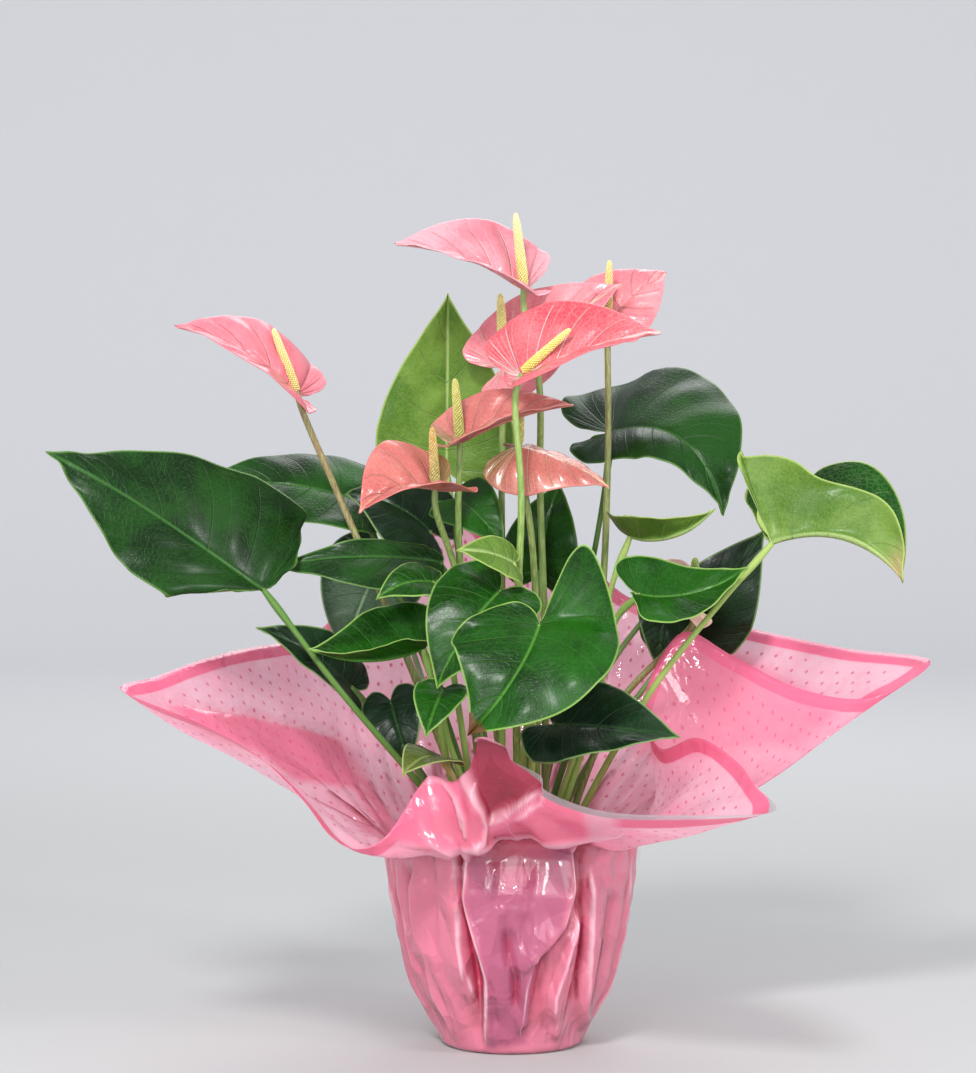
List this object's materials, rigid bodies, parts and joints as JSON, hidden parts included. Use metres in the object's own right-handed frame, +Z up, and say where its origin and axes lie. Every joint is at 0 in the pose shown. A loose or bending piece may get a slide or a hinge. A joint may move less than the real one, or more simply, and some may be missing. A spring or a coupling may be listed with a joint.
{
  "type": "potted anthurium",
  "caption": "Flowering anthurium in a nursery pot, wrapped in a gathered square of printed film with flared corners.",
  "frame": {"origin": "middle of the flat base of the wrapped pot, on the surface that it stands on", "axes": "+Z up, -Y towards the side that the flowers face, +X to the right seen from that side"},
  "size_m": [0.5195, 0.3241, 0.4982],
  "materials": {
    "film": "gloss",
    "tape": "gloss",
    "pot": "matte",
    "soil": "matte",
    "crown": "matte",
    "leaf_deep": "satin",
    "leaf_mid": "satin",
    "leaf_dark": "satin",
    "leaf_pale": "satin",
    "leaf_bright": "satin",
    "leaf_grey": "satin",
    "leaf_olive": "satin",
    "stem": "satin",
    "spathe_pink": "gloss",
    "spathe_salmon": "gloss",
    "spathe_cream": "gloss",
    "spadix": "matte"
  },
  "bodies": {
    "root": {"film_wrap": "film", "neck_tape": "tape", "nursery_pot": "pot", "soil": "soil", "crown": "crown", "leaf_left_large": "leaf_deep", "leaf_left_behind": "leaf_mid", "leaf_left_dark": "leaf_dark", "leaf_back_upright": "leaf_pale", "leaf_right_top": "leaf_deep", "leaf_right_curled": "leaf_pale", "leaf_right_behind": "leaf_dark", "leaf_right_hanging": "leaf_dark", "leaf_right_pale_small": "leaf_pale", "leaf_right_bright_small": "leaf_bright", "leaf_front_large": "leaf_bright", "leaf_front_left_second": "leaf_bright", "leaf_front_flap": "leaf_pale", "leaf_left_long": "leaf_deep", "leaf_left_short": "leaf_bright", "leaf_left_grey": "leaf_grey", "leaf_left_bright": "leaf_bright", "leaf_left_low": "leaf_dark", "leaf_left_drooping": "leaf_dark", "leaf_front_young": "leaf_bright", "leaf_front_right_dark": "leaf_dark", "leaf_centre_mid": "leaf_mid", "leaf_centre_back": "leaf_mid", "leaf_rim_olive": "leaf_olive", "flower_01_stem": "stem", "flower_01_spathe": "spathe_pink", "flower_01_spadix": "spadix", "flower_02_stem": "stem", "flower_02_spathe": "spathe_pink", "flower_02_spadix": "spadix", "flower_03_stem": "stem", "flower_03_spathe": "spathe_salmon", "flower_03_spadix": "spadix", "flower_04_stem": "stem", "flower_04_spathe": "spathe_pink", "flower_04_spadix": "spadix", "flower_05_stem": "stem", "flower_05_spathe": "spathe_salmon", "flower_05_spadix": "spadix", "flower_06_stem": "stem", "flower_06_spathe": "spathe_salmon", "flower_06_spadix": "spadix", "flower_07_stem": "stem", "flower_07_spathe": "spathe_salmon", "flower_07_spadix": "spadix", "flower_08_stem": "stem", "flower_08_spathe": "spathe_pink", "flower_08_spadix": "spadix", "flower_09_stem": "stem", "flower_09_spathe": "spathe_cream", "flower_09_spadix": "spadix"}
  },
  "joints": []
}
